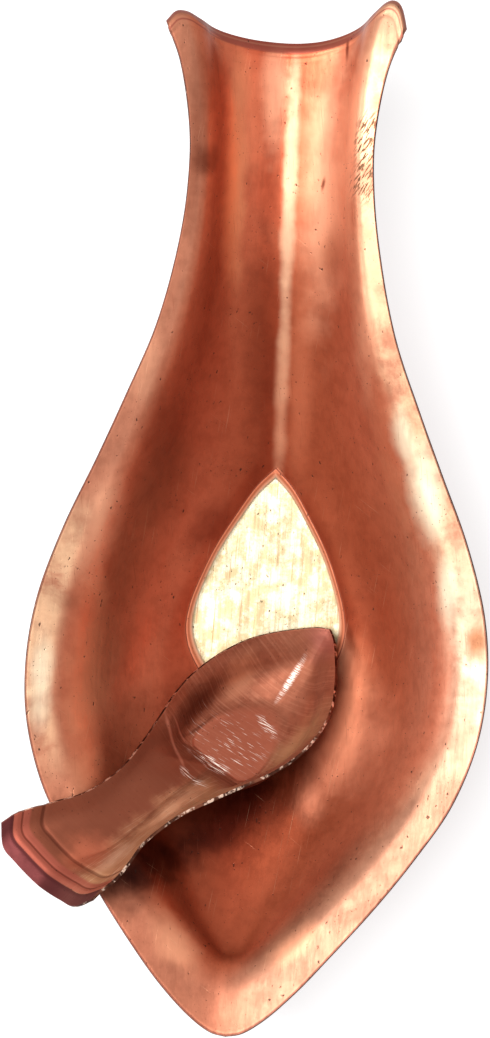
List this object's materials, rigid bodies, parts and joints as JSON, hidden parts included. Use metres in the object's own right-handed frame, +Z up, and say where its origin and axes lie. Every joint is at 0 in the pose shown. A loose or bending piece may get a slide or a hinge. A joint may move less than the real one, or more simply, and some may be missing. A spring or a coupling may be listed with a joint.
{
  "type": "kosha patra",
  "caption": "Leaf-shaped ritual water vessel of beaten copper sheet, on a flat drop-shaped foot, with its matching spoon, the kushi, lying in it across the foot and the left rim.",
  "frame": {"origin": "middle of the vessel's flat foot, on its underside, where it stands on a table", "axes": "+Z up, out of the vessel; +Y along the vessel towards its open tail; +X to the right, seen from above with the tail away from the viewer"},
  "size_m": [0.1391, 0.3058, 0.0663],
  "materials": {
    "vessel_copper": null,
    "spoon_copper": null
  },
  "bodies": {
    "kosha": {"kosha_vessel": "vessel_copper"},
    "kushi": {"kushi_spoon": "spoon_copper"}
  },
  "joints": [
    {"name": "kushi_lift", "type": "slide", "parent": "kosha", "child": "kushi", "axis": [0, 0, 1], "range_m": [0, 0.12]}
  ]
}
